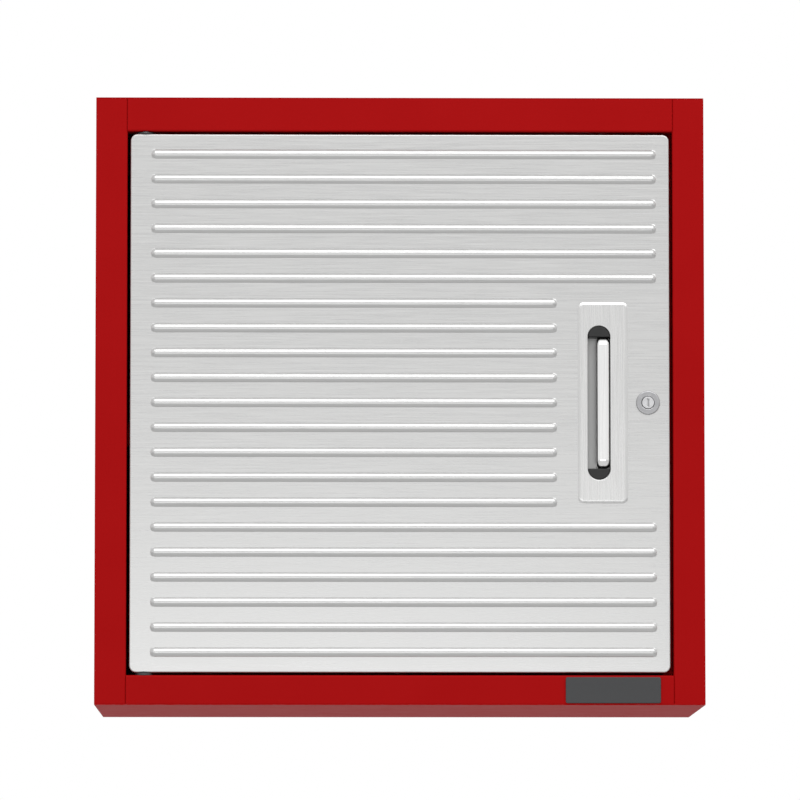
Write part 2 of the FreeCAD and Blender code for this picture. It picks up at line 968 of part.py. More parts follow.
def pull_caps():
    """Two dark end pieces that fill the round ends of the recess beyond the pull's feet."""
    filling = stadium(
        "recess_x",
        ("door_face - plate_thickness + cap_sunk", "cup_floor"),
        "door_middle",
        "recess_width - 2 * cup_wall - 2 * cap_play",
        "recess_height - 2 * cup_wall - 2 * cap_play",
    )
    middle = block(
        ("recess_x - recess_width", "recess_x + recess_width"),
        ("front - frame_depth", "door_back"),
        (
            "door_middle - pull_height / 2 - cap_play",
            "door_middle + pull_height / 2 + cap_play",
        ),
    )
    return finish(cut(filling, middle), "pull_caps")


def pull_bar():
    """A bowed flat bar: its feet stand on the cup's floor and its grip is proud of the plate."""
    half = "pull_height / 2"
    front = "door_face - pull_proud"
    section = [
        (front, f"door_middle - {half}"),
        ("cup_floor", f"door_middle - {half}"),
        ("cup_floor", f"door_middle - {half} + pull_thickness"),
        (f"{front} + pull_thickness", f"door_middle - {half} + pull_thickness"),
        (f"{front} + pull_thickness", f"door_middle + {half} - pull_thickness"),
        ("cup_floor", f"door_middle + {half} - pull_thickness"),
        ("cup_floor", f"door_middle + {half}"),
        (front, f"door_middle + {half}"),
    ]
    body = new_body("pull_blank")
    bar = pad(body, "YZ_Plane", section, "plate_x - pull_width / 2", "pull_width")
    x_axis = plane_normals["YZ_Plane"]
    grip_y = value(front)
    outer = edges_along(bar.Shape, x_axis, lambda point: abs(point.y - grip_y) < same_place)
    bar = round_edges(body, bar, outer, "pull_bend")
    back_y = value(f"{front} + pull_thickness")
    inner = edges_along(bar.Shape, x_axis, lambda point: abs(point.y - back_y) < same_place)
    round_edges(body, bar, inner, "pull_bend - pull_thickness")
    bores = pull_foot_rods(
        "door_back - handle_screw_length - cup_play",
        "handle_screw_length",
        "handle_screw_radius + running_play",
    )
    return finish(cut(body, *bores), "pull_bar")


# Lock


def lock_rod(start, end, radius):
    return rod("y", ("lock_x", start, "door_middle"), f"({end}) - ({start})", radius)


def lock_block(half, start, end):
    return block(
        (f"lock_x - ({half})", f"lock_x + ({half})"),
        (start, end),
        (f"door_middle - ({half})", f"door_middle + ({half})"),
    )


def lock_body():
    flange = lock_rod("door_face - lock_flange", "door_face", "lock_flange_radius")
    barrel = lock_rod("door_face", "frame_back", "lock_barrel_radius")
    bore = lock_rod(
        "door_face - 2 * lock_flange", "frame_back + overcut", "lock_plug_radius + running_play"
    )
    return finish(cut(joined(flange, barrel), bore), "lock_body")


def lock_nut():
    nut = doc.addObject("Part::Prism", "nut_blank")
    nut.Polygon = 6
    nut.Placement.Rotation = turn_to_axis["y"]
    nut.setExpression("Circumradius", f"{expand('lock_nut_width')} / 2 / cos(30)")
    bind(nut, Height="lock_nut_thickness")
    place(nut, ("lock_x", "door_back", "door_middle"))
    hole = lock_rod(
        "door_back - overcut", "door_back + frame_depth", "lock_barrel_radius + running_play"
    )
    return finish(cut(nut, hole), "lock_nut")


def lock_plug():
    """The turning core: a keyway in its face and a square tail that carries the cam."""
    front = "door_face - lock_flange - lock_plug_proud"
    core = lock_rod(front, "cam_front", "lock_plug_radius")
    tail = lock_block("lock_tail / 2", "cam_front", "cam_front + cam_sheet")
    keyway = block(
        ("lock_x - keyway_width / 2", "lock_x + keyway_width / 2"),
        (f"{front} - overcut", f"{front} + keyway_depth"),
        ("door_middle - keyway_height / 2", "door_middle + keyway_height / 2"),
    )
    tapping = lock_rod(
        "cam_front + cam_sheet - cam_screw_length - overcut",
        "cam_front + 2 * cam_sheet",
        "cam_screw_radius + running_play",
    )
    return finish(cut(joined(core, tail), keyway, tapping), "lock_plug")


def lock_cam():
    """The bar that turns in behind the post's lip. It hangs down when unlocked."""
    y_span = ("cam_front", "cam_front + cam_sheet")
    arm = block(
        ("lock_x - cam_width / 2", "lock_x + cam_width / 2"),
        y_span,
        ("door_middle - cam_length", "door_middle"),
    )
    hub = lock_rod(*y_span, "cam_width / 2")
    square = lock_block(
        "lock_tail / 2 + running_play", "cam_front - overcut", "cam_front + 2 * cam_sheet"
    )
    return finish(cut(joined(arm, hub), square), "lock_cam")


def cam_screw():
    seat = "cam_front + cam_sheet"
    head = lock_rod(seat, f"{seat} + screw_head", "cam_screw_head_radius")
    shank = lock_rod(f"{seat} - cam_screw_length", seat, "cam_screw_radius")
    return finish(joined(head, shank), "cam_screw")


# Catch, bumpers and badge


def catch_block(half_across, y_span, z_span):
    return block((f"catch_x - {half_across}", f"catch_x + {half_across}"), y_span, z_span)


def catch_rods(start, length, radius):
    return [
        rod("z", (f"catch_x {sign} catch_screw_spacing / 2", "catch_middle", start), length, radius)
        for sign in "+-"
    ]


def catch():
    half = "catch_width / 2"
    upright = catch_block(
        half,
        ("frame_back", "frame_back + catch_bracket_sheet"),
        ("catch_top", "top_rail_underside + catch_bracket_rise"),
    )
    foot = catch_block(
        half,
        ("frame_back", "catch_face + catch_depth"),
        ("catch_top", "catch_top + catch_bracket_sheet"),
    )
    bores = catch_rods(
        "catch_top - overcut", "catch_bracket_sheet + 2 * overcut", "catch_screw_radius + cup_play"
    )
    finish(cut(joined(upright, foot), *bores), "catch_bracket")

    pocket_half_height = "magnet_height / 2 + pole_sheet"
    shell = catch_block(
        half, ("catch_face", "catch_face + catch_depth"), ("catch_low", "catch_top")
    )
    hollow = catch_block(
        "magnet_width / 2",
        ("catch_face - overcut", "catch_face + magnet_depth"),
        (f"catch_centre - ({pocket_half_height})", f"catch_centre + {pocket_half_height}"),
    )
    bores = catch_rods(
        "catch_low - overcut", "catch_height + 2 * overcut", "catch_screw_radius + cup_play"
    )
    finish(cut(shell, hollow, *bores), "catch_housing")

    magnet = catch_block(
        "magnet_width / 2",
        ("catch_face", "catch_face + magnet_depth"),
        ("catch_centre - magnet_height / 2", "catch_centre + magnet_height / 2"),
    )
    finish(magnet, "catch_magnet")

    pole_y = ("catch_face - pole_proud", "catch_face + magnet_depth")
    lower_pole = catch_block(
        "magnet_width / 2",
        pole_y,
        (f"catch_centre - ({pocket_half_height})", "catch_centre - magnet_height / 2"),
    )
    upper_pole = catch_block(
        "magnet_width / 2",
        pole_y,
        ("catch_centre + magnet_height / 2", f"catch_centre + {pocket_half_height}"),
    )
    finish(group(lower_pole, upper_pole), "catch_poles")

    heads = catch_rods("catch_low - screw_head", "screw_head", "screw_head_radius")
    shanks = catch_rods(
        "catch_low - screw_head",
        "screw_head + catch_height + 2 * catch_bracket_sheet",
        "catch_screw_radius",
    )
    screws = [joined(head, shank) for head, shank in zip(heads, shanks)]
    finish(group(*screws), "catch_screws")

    strike = catch_block(
        half, ("door_back", "door_back + strike_sheet"), ("catch_low", "catch_top")
    )
    finish(strike, "catch_strike")


def door_bumpers():
    bumpers = [
        rod(
            "y",
            (
                "jamb - stop_lip / 2",
                "door_back + bumper_gap",
                f"door_middle {sign} bumper_spacing / 2",
            ),
            "bumper_thickness",
            "bumper_radius",
        )
        for sign in "+-"
    ]
    return finish(group(*bumpers), "door_bumpers")


def badge_plate():
    body = new_body("badge")
    corners = rectangle(
        ("badge_x - badge_width / 2", "badge_x + badge_width / 2"),
        ("badge_z - badge_height / 2", "badge_z + badge_height / 2"),
    )
    plate = pad(body, "XZ_Plane", corners, "case_depth", "badge_thickness")
    round_edges(
        body, plate, edges_along(plate.Shape, plane_normals["XZ_Plane"]), "badge_radius"
    )
    return finish(body, "badge_plate")


# The whole cabinet

side_panel("left_side_panel", -1)
side_panel("right_side_panel", 1)
end_panel("top_panel", "half_height", "half_height - sheet", "half_height - flange")
end_panel("bottom_panel", "0 - half_height", "sheet - half_height", "flange - half_height")
back_panel()
hanging_rail("upper_hanging_rail", 1)
hanging_rail("lower_hanging_rail", -1)

hinge_post()
lock_post()
rail("top_rail", "half_height - sheet", "top_rail_underside", "+")
rail("bottom_rail", "sheet - half_height", "bottom_rail_top", "-")

clips = []
for side_name, side in (("left", -1), ("right", 1)):
    for line_name, middle_y in standard_lines.items():
        standard(f"{side_name}_{line_name}_standard", side, middle_y)
        clips.append(shelf_clip(side, middle_y))
finish(group(*clips), "shelf_clips")
shelf()

hinge("lower", 1, "bottom_rail_top")
hinge("upper", -1, "top_rail_underside")
thrust_washer()

door_skin()
door_pan()
door_stiffener()
handle_plate()
handle_screws()
finger_cup()
pull_caps()
pull_bar()

lock_body()
lock_nut()
lock_plug()
lock_cam()
cam_screw()

catch()
door_bumpers()
badge_plate()
doc.recompute()

# Every object must be sound before anything is written.
for item in doc.Objects:
    if "Invalid" in item.State or "Error" in item.State:
        raise RuntimeError(f"{item.Label} failed: {item.State}")
for item in sub_parts:
    if item.Shape.isNull() or not item.Shape.isValid():
        raise RuntimeError(f"{item.Label} has no sound shape")

os.makedirs("parts", exist_ok=True)
for item in sub_parts:
    item.Shape.exportStep(f"parts/{item.Label}.step")
    box = item.Shape.BoundBox
    print(
        f"{item.Label:22s} {len(item.Shape.Solids)} solid(s)"
        f" {box.XLength:7.1f} {box.YLength:7.1f} {box.ZLength:7.1f}"
        f" volume {item.Shape.Volume:10.0f}"
    )
print(len(sub_parts), "sub-parts")
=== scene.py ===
import math

import bmesh
import bpy
from mathutils import Matrix, Vector


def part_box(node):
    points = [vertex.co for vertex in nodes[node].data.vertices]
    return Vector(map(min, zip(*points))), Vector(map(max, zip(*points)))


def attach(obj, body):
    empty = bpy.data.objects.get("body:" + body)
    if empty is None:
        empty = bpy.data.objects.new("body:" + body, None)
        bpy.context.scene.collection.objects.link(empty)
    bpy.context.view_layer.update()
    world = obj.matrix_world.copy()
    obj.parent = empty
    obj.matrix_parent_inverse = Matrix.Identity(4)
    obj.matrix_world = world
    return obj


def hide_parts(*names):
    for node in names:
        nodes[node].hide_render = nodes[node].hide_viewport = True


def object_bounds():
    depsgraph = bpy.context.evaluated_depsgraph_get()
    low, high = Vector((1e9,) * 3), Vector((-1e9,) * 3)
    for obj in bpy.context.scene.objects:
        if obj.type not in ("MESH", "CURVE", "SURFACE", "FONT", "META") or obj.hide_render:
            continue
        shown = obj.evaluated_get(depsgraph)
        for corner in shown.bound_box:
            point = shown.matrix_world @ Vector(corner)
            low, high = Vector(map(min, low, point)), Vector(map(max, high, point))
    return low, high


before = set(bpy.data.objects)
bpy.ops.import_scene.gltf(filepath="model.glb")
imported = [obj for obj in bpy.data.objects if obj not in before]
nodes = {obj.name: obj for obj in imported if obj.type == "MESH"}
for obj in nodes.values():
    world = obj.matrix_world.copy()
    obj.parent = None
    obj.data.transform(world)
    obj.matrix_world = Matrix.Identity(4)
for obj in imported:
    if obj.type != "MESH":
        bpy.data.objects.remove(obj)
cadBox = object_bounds()
mm = 0.001
samePlace = 1e-6  # two places nearer than this, in metres, are one
noiseMiddle = (0.3, 0.7)  # the stretch of a noise field that holds nearly all of it

# Materials. Each is a Principled surface with its grain read from Object coordinates.


def newMaterial(name, **surface):
    material = bpy.data.materials.new(name)
    material.use_nodes = True
    tree = material.node_tree
    shader = tree.nodes["Principled BSDF"]
    for socket, setting in surface.items():
        label = socket.replace("_", " ")
        shader.inputs[label].default_value = setting
    return material, tree, shader


def grain(tree, stretch, size, detail=3.0):
    # a noise field whose cells are size metres across, stretched along the axes
    place = tree.nodes.new("ShaderNodeTexCoord")
    turn = tree.nodes.new("ShaderNodeMapping")
    turn.inputs["Scale"].default_value = stretch
    noise = tree.nodes.new("ShaderNodeTexNoise")
    noise.inputs["Scale"].default_value = 1 / size
    noise.inputs["Detail"].default_value = detail
    tree.links.new(place.outputs["Object"], turn.inputs["Vector"])
    tree.links.new(turn.outputs["Vector"], noise.inputs["Vector"])
    return noise.outputs["Fac"]


def spread(tree, field, low, high):
    # maps the middle of a noise field to a range of values
    mapping = tree.nodes.new("ShaderNodeMapRange")
    mapping.inputs["From Min"].default_value = noiseMiddle[0]
    mapping.inputs["From Max"].default_value = noiseMiddle[1]
    mapping.inputs["To Min"].default_value = low
    mapping.inputs["To Max"].default_value = high
    tree.links.new(field, mapping.inputs["Value"])
    return mapping.outputs["Result"]


def tint(tree, field, first, second):
    ramp = tree.nodes.new("ShaderNodeValToRGB")
    ramp.color_ramp.elements[0].position = noiseMiddle[0]
    ramp.color_ramp.elements[0].color = (*first, 1)
    ramp.color_ramp.elements[1].position = noiseMiddle[1]
    ramp.color_ramp.elements[1].color = (*second, 1)
    tree.links.new(field, ramp.inputs["Fac"])
    return ramp.outputs["Color"]


def relief(tree, shader, field, height):
    bump = tree.nodes.new("ShaderNodeBump")
    bump.inputs["Distance"].default_value = height
    tree.links.new(field, bump.inputs["Height"])
    tree.links.new(bump.outputs["Normal"], shader.inputs["Normal"])


powderCoat = {
    "redDeep": (0.442, 0.0037, 0.0044),
    "redBright": (0.456, 0.0043, 0.0050),
    "greyDeep": (0.440, 0.450, 0.460),
    "greyBright": (0.452, 0.462, 0.472),
    "roughness": 0.52,
    "sheenSpread": 0.02,
    "gloss": 0.05,
    "peelSize": 1.6 * mm,
    "peelHeight": 0.014 * mm,
}


def coatedSteel(name, deep, bright):
    # powder coat: a faint mottle, a fine orange peel and an even sheen
    gloss = {"Specular_IOR_Level": powderCoat["gloss"]}
    material, tree, shader = newMaterial(name, Roughness=powderCoat["roughness"], **gloss)
    mottle = grain(tree, (1, 1, 1), 70 * mm, 2)
    tree.links.new(tint(tree, mottle, deep, bright), shader.inputs["Base Color"])
    sheen = grain(tree, (1, 1, 1), 25 * mm)
    rough, change = powderCoat["roughness"], powderCoat["sheenSpread"]
    tree.links.new(spread(tree, sheen, rough - change, rough + change), shader.inputs["Roughness"])
    peel = grain(tree, (1, 1, 1), powderCoat["peelSize"], 1)
    relief(tree, shader, peel, powderCoat["peelHeight"])
    return material


brushed = {
    "pale": (1.05, 1.05, 1.04),
    "dark": (0.95, 0.95, 0.945),
    "grainSize": 0.5 * mm,
    "grainLength": 90,
    "grainHeight": 0.002 * mm,
}


def brushedSteel(name, along, roughness, tone):
    # fine scratches that run along one axis
    material, tree, shader = newMaterial(name, Metallic=1.0)
    stretch = [1, 1, 1]
    stretch["xyz".index(along)] = 1 / brushed["grainLength"]
    scratches = grain(tree, stretch, brushed["grainSize"], 4)
    dark = [tone * channel for channel in brushed["dark"]]
    pale = [tone * channel for channel in brushed["pale"]]
    tree.links.new(tint(tree, scratches, dark, pale), shader.inputs["Base Color"])
    tree.links.new(spread(tree, scratches, roughness - 0.05, roughness + 0.06), shader.inputs["Roughness"])
    relief(tree, shader, scratches, brushed["grainHeight"])
    return material


def plainMetal(name, colour, roughness):
    # plated small parts: slightly cloudy
    material, tree, shader = newMaterial(name, Metallic=1.0)
    cloud = grain(tree, (1, 1, 1), 6 * mm)
    dull = tuple(channel * 0.88 for channel in colour)
    tree.links.new(tint(tree, cloud, dull, colour), shader.inputs["Base Color"])
    tree.links.new(spread(tree, cloud, roughness, roughness + 0.12), shader.inputs["Roughness"])
    return material


def moulded(name, colour, roughness, texture=0.6 * mm):
    # plastic or rubber with a fine moulded texture
    material, tree, shader = newMaterial(name, Roughness=roughness)
    skin = grain(tree, (1, 1, 1), texture, 2)
    paler = tuple(min(1, channel * 1.15 + 0.004) for channel in colour)
    tree.links.new(tint(tree, skin, colour, paler), shader.inputs["Base Color"])
    tree.links.new(spread(tree, skin, roughness - 0.06, roughness + 0.06), shader.inputs["Roughness"])
    relief(tree, shader, skin, 0.02 * mm)
    return material


redCoat = coatedSteel("redCoat", powderCoat["redDeep"], powderCoat["redBright"])
greyCoat = coatedSteel("greyCoat", powderCoat["greyDeep"], powderCoat["greyBright"])
doorSteel = brushedSteel("doorSteel", "x", 0.30, 0.56)
plateSteel = brushedSteel("plateSteel", "z", 0.26, 0.62)
# the finger cup's steel is toned darker than the door's: painted shade for the recess behind the pull
paintedShadeCupSteel = brushedSteel("paintedShadeCupSteel", "z", 0.36, 0.40)
pullSteel = brushedSteel("pullSteel", "z", 0.16, 0.80)
# the lock flange's metal is toned darker than the plug's steel: painted shade for the dark ring round the lock
paintedShadeChrome = plainMetal("paintedShadeChrome", (0.44, 0.44, 0.45), 0.12)
zincPlate = plainMetal("zincPlate", (0.58, 0.60, 0.62), 0.30)
brightSteel = plainMetal("brightSteel", (0.62, 0.62, 0.63), 0.22)
nylon = moulded("nylon", (0.035, 0.035, 0.036), 0.45)
blackPlastic = moulded("blackPlastic", (0.003, 0.003, 0.003), 0.5)
ferrite = moulded("ferrite", (0.05, 0.05, 0.052), 0.7, 0.3 * mm)
rubber = moulded("rubber", (0.018, 0.018, 0.018), 0.8)
badgeSkin = moulded("badgeSkin", (0.030, 0.031, 0.033), 0.36, 0.4 * mm)
print("materials ready")

# Shaping helpers


def finishMesh(bm, name, material, body, node, smoothAngle=40):
    bmesh.ops.recalc_face_normals(bm, faces=bm.faces)
    mesh = bpy.data.meshes.new(name)
    bm.to_mesh(mesh)
    bm.free()
    mesh.shade_smooth()
    mesh.set_sharp_from_angle(angle=math.radians(smoothAngle))
    mesh.materials.append(material)
    piece = bpy.data.objects.new(name, mesh)
    bpy.context.scene.collection.objects.link(piece)
    weighted = piece.modifiers.new("evenNormals", "WEIGHTED_NORMAL")
    weighted.keep_sharp = True
    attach(piece, body)
    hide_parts(*([node] if isinstance(node, str) else node))
    return piece


def copyNode(node):
    # a merged copy of a CAD node, with its flat faces whole again
    bm = bmesh.new()
    bm.from_mesh(nodes[node].data)
    bmesh.ops.remove_doubles(bm, verts=bm.verts, dist=0.002 * mm)
    bmesh.ops.dissolve_limit(bm, angle_limit=math.radians(0.3), verts=bm.verts, edges=bm.edges)
    return bm


def sharpEdges(bm, minAngle=50, wanted=lambda middle: True):
    edges = []
    for edge in bm.edges:
        if not edge.is_manifold or edge.calc_face_angle(0) < math.radians(minAngle):
            continue
        if wanted((edge.verts[0].co + edge.verts[1].co) / 2):
            edges.append(edge)
    return edges


def bevel(bm, edges, offset, segments=3):
    bmesh.ops.bevel(
        bm, geom=edges, offset=offset, segments=segments, profile=0.5,
        affect="EDGES", clamp_overlap=True, material=-1,
    )


def soften(name, node, material, body, radius, segments=2, minAngle=50):
    # a sheet or small part whose cut edges are eased and coated
    bm = copyNode(node)
    bevel(bm, sharpEdges(bm, minAngle), radius, segments)
    return finishMesh(bm, name, material, body, node)


# Case and face frame

caseParts = {
    "leftSide": "left_side_panel",
    "rightSide": "right_side_panel",
    "topPanel": "top_panel",
    "bottomPanel": "bottom_panel",
    "backPanel": "back_panel",
    "leftPost": "left_post",
    "rightPost": "right_post",
    "topRail": "top_rail",
    "bottomRail": "bottom_rail",
    "upperHangingRail": "upper_hanging_rail",
    "lowerHangingRail": "lower_hanging_rail",
}
coatEdge = 0.28 * mm
sheetEdge = 0.3 * mm
for name, node in caseParts.items():
    soften(name, node, redCoat, "cabinet", coatEdge)
soften("shelfSheet", "shelf", redCoat, "shelf", coatEdge)
print("case ready")

# Door front: a pressed sheet. Its grid of faces is finer where the beads rise.

doorFront = {
    "thickness": 21 * mm,
    "beadWidth": 9.5 * mm,
    "beadHeight": 2.2 * mm,
    "beadPitch": 25 * mm,
    "beadRows": 10,
    "startHinge": 21 * mm,
    "startLock": 13.5 * mm,
    "padWidth": 113 * mm,
    "padHalfHeight": 115 * mm,
    "cornerRadius": 7 * mm,
    "edgeRadius": 1.6 * mm,
    "sheet": 0.8 * mm,
    "acrossBead": 12,
    "acrossEnd": 7,
    "cupPlay": 0.4 * mm,
    "lockHoleRadius": 9.55 * mm,
}


def beadRise(distance):
    # height of the arc crown at a distance from the bead's middle line
    half, height = doorFront["beadWidth"] / 2, doorFront["beadHeight"]
    if distance >= half:
        return 0.0
    radius = (half**2 + height**2) / (2 * height)
    return math.sqrt(radius**2 - distance**2) - (radius - height)


def buildDoorFront():
    look = doorFront
    low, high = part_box("door_skin")
    middle = (low.z + high.z) / 2
    face = high.y - look["thickness"]
    half = look["beadWidth"] / 2
    left, right = low.x, high.x
    starts = left + look["startHinge"]
    fullEnd = right - look["startLock"]
    shortEnd = right - look["padWidth"]
    steps = look["acrossEnd"]
    ups = {low.z, high.z}
    for row in range(-look["beadRows"], look["beadRows"] + 1):
        for step in range(-look["acrossBead"] // 2, look["acrossBead"] // 2 + 1):
            ups.add(middle + row * look["beadPitch"] + 2 * half * step / look["acrossBead"])
    acrosses = {left, right}
    for step in range(steps + 1):
        run = half * step / steps
        acrosses.update((starts + run, fullEnd - run, shortEnd - run))
    ups, acrosses = sorted(ups), sorted(acrosses)

    bm = bmesh.new()
    bmesh.ops.create_grid(bm, x_segments=len(acrosses) - 1, y_segments=len(ups) - 1, size=0.5)
    for vert in bm.verts:
        column = round((vert.co.x + 0.5) * (len(acrosses) - 1))
        line = round((vert.co.y + 0.5) * (len(ups) - 1))
        across, up = acrosses[column], ups[line]
        row = round((up - middle) / look["beadPitch"])
        offset = up - middle - row * look["beadPitch"]
        besidePad = abs(row * look["beadPitch"]) < look["padHalfHeight"]
        end = shortEnd if besidePad else fullEnd
        pastEnd = max(0, starts + half - across, across - end + half)
        rise = beadRise(math.hypot(pastEnd, offset)) if abs(row) <= look["beadRows"] else 0
        vert.co = (across, face - rise, up)

    rim = [edge for edge in bm.edges if edge.is_boundary]
    turned = bmesh.ops.extrude_edge_only(bm, edges=rim)["geom"]
    backVerts = [item for item in turned if isinstance(item, bmesh.types.BMVert)]
    for vert in backVerts:
        vert.co.y = high.y
    bmesh.ops.recalc_face_normals(bm, faces=bm.faces)

    corners = [
        edge for edge in bm.edges
        if abs(edge.verts[0].co.x - edge.verts[1].co.x) < samePlace
        and abs(edge.verts[0].co.z - edge.verts[1].co.z) < samePlace
        and min(abs(edge.verts[0].co.x - side) for side in (left, right)) < samePlace
        and min(abs(edge.verts[0].co.z - side) for side in (low.z, high.z)) < samePlace
    ]
    bevel(bm, corners, look["cornerRadius"], 8)

    def onFaceRim(edge):
        return (
            edge.is_manifold
            and all(abs(vert.co.y - face) < samePlace for vert in edge.verts)
            and any(abs(neighbour.normal.y) < 0.3 for neighbour in edge.link_faces)
            and any(abs(neighbour.normal.y) > 0.7 for neighbour in edge.link_faces)
        )

    bm.normal_update()
    bevel(bm, [edge for edge in bm.edges if onFaceRim(edge)], look["edgeRadius"], 4)
    bmesh.ops.recalc_face_normals(bm, faces=bm.faces)
    if sum(item.normal.y * item.calc_area() for item in bm.faces) > 0:
        bmesh.ops.reverse_faces(bm, faces=bm.faces)
    bmesh.ops.solidify(bm, geom=bm.faces, thickness=look["sheet"])
    return bm


def cutThrough(bm, cutters):
    # takes closed cutters away from a closed mesh and returns the result as a new bmesh
    def holder(name, source):
        mesh = bpy.data.meshes.new(name)
        source.to_mesh(mesh)
        source.free()
        thing = bpy.data.objects.new(name, mesh)
        bpy.context.scene.collection.objects.link(thing)
        return thing

    base = holder("cutBase", bm)
    tools = [holder("cutTool", cutter) for cutter in cutters]
    for tool in tools:
        step = base.modifiers.new("cut", "BOOLEAN")
        step.operation = "DIFFERENCE"
        step.solver = "EXACT"
        step.object = tool
    bpy.context.view_layer.update()
    solved = bpy.data.meshes.new_from_object(base.evaluated_get(bpy.context.evaluated_depsgraph_get()))
    result = bmesh.new()
    result.from_mesh(solved)
    for thing in [base, *tools]:
        bpy.data.objects.remove(thing)
    return result


def rodAlongY(centre, radius, start, end, sides=48):
    bm = bmesh.new()
    bmesh.ops.create_cone(bm, cap_ends=True, segments=sides, radius1=radius, radius2=radius, depth=end - start)
    bmesh.ops.rotate(bm, verts=bm.verts, matrix=Matrix.Rotation(math.pi / 2, 3, "X"))
    bmesh.ops.translate(bm, verts=bm.verts, vec=(centre[0], (start + end) / 2, centre[1]))
    return bm


def slotAlongY(centre, width, height, start, end, sides=48):
    # a stadium: the upper and lower halves of a rod moved apart
    bm = rodAlongY(centre, width / 2, start, end, sides)
    bmesh.ops.bisect_plane(
        bm, geom=bm.verts[:] + bm.edges[:] + bm.faces[:], dist=1e-7,
        plane_co=(0, 0, centre[1]), plane_no=(0, 0, 1),
    )
    shift = (height - width) / 2
    upper = [vert for vert in bm.verts if vert.co.z > centre[1] + samePlace]
    lower = [vert for vert in bm.verts if vert.co.z < centre[1] - samePlace]
    bmesh.ops.translate(bm, verts=upper, vec=(0, 0, shift))
    bmesh.ops.translate(bm, verts=lower, vec=(0, 0, -shift))
    return bm


skinLow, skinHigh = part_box("door_skin")
cupLow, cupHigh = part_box("finger_cup")
lockLow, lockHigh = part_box("lock_body")
lockCentre = ((lockLow.x + lockHigh.x) / 2, (lockLow.z + lockHigh.z) / 2)
cupCentre = ((cupLow.x + cupHigh.x) / 2, (cupLow.z + cupHigh.z) / 2)
cutFront, cutBack = skinLow.y - doorFront["thickness"], skinHigh.y + doorFront["thickness"] / 4
handleCut = slotAlongY(
    cupCentre, cupHigh.x - cupLow.x + doorFront["cupPlay"],
    cupHigh.z - cupLow.z + doorFront["cupPlay"], cutFront, cutBack,
)
lockCut = rodAlongY(lockCentre, doorFront["lockHoleRadius"], cutFront, cutBack)
doorMesh = cutThrough(buildDoorFront(), [handleCut, lockCut])
finishMesh(doorMesh, "doorFront", doorSteel, "door", "door_skin", 32)
soften("doorPan", "door_pan", greyCoat, "door", sheetEdge)
print("door ready")

# Handle and lock

handleLook = {
    "cornerRadius": 6 * mm,
    "slopeWidth": 3.4 * mm,
    "slopeDrop": 1.6 * mm,
    "lipRadius": 0.9 * mm,
    "cupWall": 1.2 * mm,
    "pullThickness": 6 * mm,
    "pullCrown": 4.2 * mm,
    "pullBackEdge": 1.4 * mm,
    "capEdge": 1.0 * mm,
    "flangeChamfer": 1.3 * mm,
    "badgeEdge": 0.5 * mm,
}


def buildPlate():
    # a dished cover: its rim slopes down to the door, and a soft lip runs round the opening
    look = handleLook
    low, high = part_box("handle_plate")
    bm = bmesh.new()
    bmesh.ops.create_grid(bm, x_segments=1, y_segments=1, size=0.5)
    size = Vector((high.x - low.x, high.z - low.z, 1))
    bmesh.ops.scale(bm, verts=bm.verts, vec=size)
    bmesh.ops.bevel(
        bm, geom=bm.verts[:], offset=look["cornerRadius"], segments=8, profile=0.5,
        affect="VERTICES", material=-1,
    )
    bmesh.ops.rotate(bm, verts=bm.verts, matrix=Matrix.Rotation(math.pi / 2, 3, "X"))
    bmesh.ops.translate(bm, verts=bm.verts, vec=((low.x + high.x) / 2, high.y, (low.z + high.z) / 2))
    raised = bmesh.ops.extrude_face_region(bm, geom=bm.faces[:])["geom"]
    rim = [item for item in raised if isinstance(item, bmesh.types.BMVert)]
    bmesh.ops.translate(bm, verts=rim, vec=(0, low.y + look["slopeDrop"] - high.y, 0))
    bmesh.ops.recalc_face_normals(bm, faces=bm.faces)
    front = [item for item in bm.faces if item.normal.y < -0.9]
    bmesh.ops.inset_region(
        bm, faces=front, thickness=look["slopeWidth"], depth=look["slopeDrop"], use_even_offset=True,
    )
    opening = slotAlongY(
        cupCentre, cupHigh.x - cupLow.x - 2 * look["cupWall"],
        cupHigh.z - cupLow.z - 2 * look["cupWall"], cutFront, cutBack,
    )
    bm = cutThrough(bm, [opening])
    bmesh.ops.dissolve_limit(bm, angle_limit=math.radians(0.3), verts=bm.verts, edges=bm.edges)
    lip = sharpEdges(bm, 60, lambda spot: spot.y < low.y + 0.1 * mm)
    bevel(bm, lip, look["lipRadius"], 4)
    return bm


def buildPull():
    # a bowed bar with a crowned front and eased back edges
    look = handleLook
    low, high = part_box("pull_bar")
    thickness = look["pullThickness"]
    bm = copyNode("pull_bar")

    def onOuterSide(spot):
        nearSide = min(abs(spot.x - low.x), abs(spot.x - high.x)) < 0.05 * mm
        inFront = spot.y < low.y + thickness / 2
        beyondFoot = min(spot.z - low.z, high.z - spot.z) < thickness / 2
        return nearSide and (inFront or beyondFoot)

    bevel(bm, sharpEdges(bm, 60, onOuterSide), look["pullCrown"], 8)
    inner = sharpEdges(bm, 60, lambda spot: spot.y > low.y + thickness / 2)
    bevel(bm, inner, look["pullBackEdge"], 3)
    return bm


def buildLockBody():
    # a turned flange: a wide outer chamfer and a dished way into the plug
    bm = copyNode("lock_body")
    front = sharpEdges(bm, 60, lambda spot: spot.y < lockLow.y + 0.1 * mm)
    bevel(bm, front, handleLook["flangeChamfer"], 4)
    bevel(bm, sharpEdges(bm, 60), sheetEdge, 2)
    return bm


finishMesh(buildPlate(), "handlePlate", plateSteel, "door", "handle_plate")
soften("fingerCup", "finger_cup", paintedShadeCupSteel, "door", sheetEdge)
soften("pullCaps", "pull_caps", blackPlastic, "door", handleLook["capEdge"], 4)
finishMesh(buildPull(), "pullBar", pullSteel, "door", "pull_bar")
finishMesh(buildLockBody(), "lockBody", paintedShadeChrome, "door", "lock_body")
soften("lockPlug", "lock_plug", brightSteel, "lock", sheetEdge)
soften("badgePlate", "badge_plate", badgeSkin, "cabinet", handleLook["badgeEdge"], 3)
print("handle, lock and badge ready")

# CAD nodes that keep their own shape

